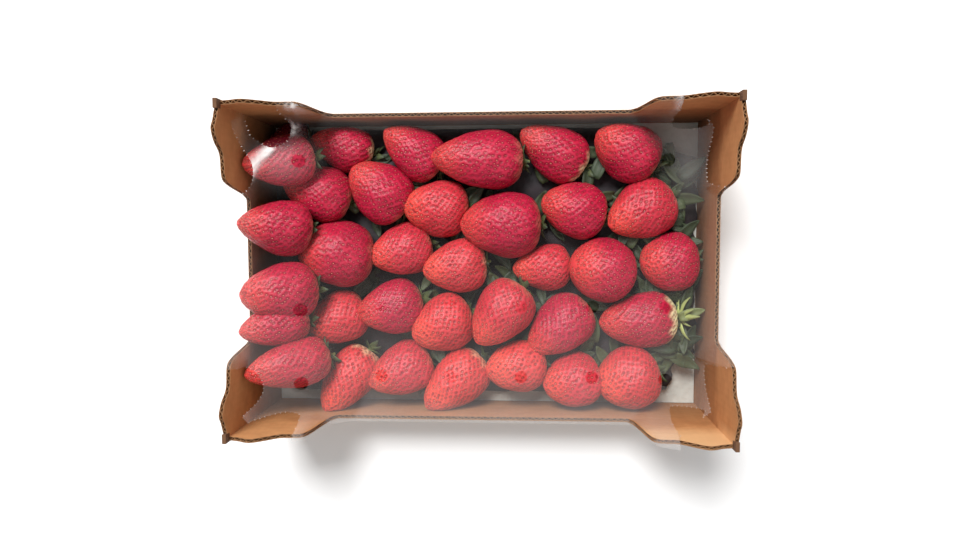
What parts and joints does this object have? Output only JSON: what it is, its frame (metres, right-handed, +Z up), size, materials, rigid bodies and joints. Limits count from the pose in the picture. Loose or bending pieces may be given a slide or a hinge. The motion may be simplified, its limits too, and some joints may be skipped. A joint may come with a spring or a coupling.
{
  "type": "tray of strawberries under film",
  "caption": "Corrugated card tray with four tall corners, filled with one layer of large strawberries on a paper liner, under a clear perforated film.",
  "frame": {"origin": "middle of the tray's underside, where it rests", "axes": "X along the tray's long side, Y along its short side, Z up"},
  "size_m": [0.3055, 0.2036, 0.101],
  "materials": {
    "kraft_card": "uncoated brown corrugated card, dull, with faint flute lines",
    "liner_paper": "pale matt liner",
    "strawberry_skin": "ripe red skin with a soft shine and yellow seeds",
    "clear_film": "thin clear film, stretched, slightly hazy"
  },
  "bodies": {
    "root": {"tray": "kraft_card", "liner": "liner_paper", "strawberries": "strawberry_skin", "film": "clear_film"}
  },
  "joints": []
}
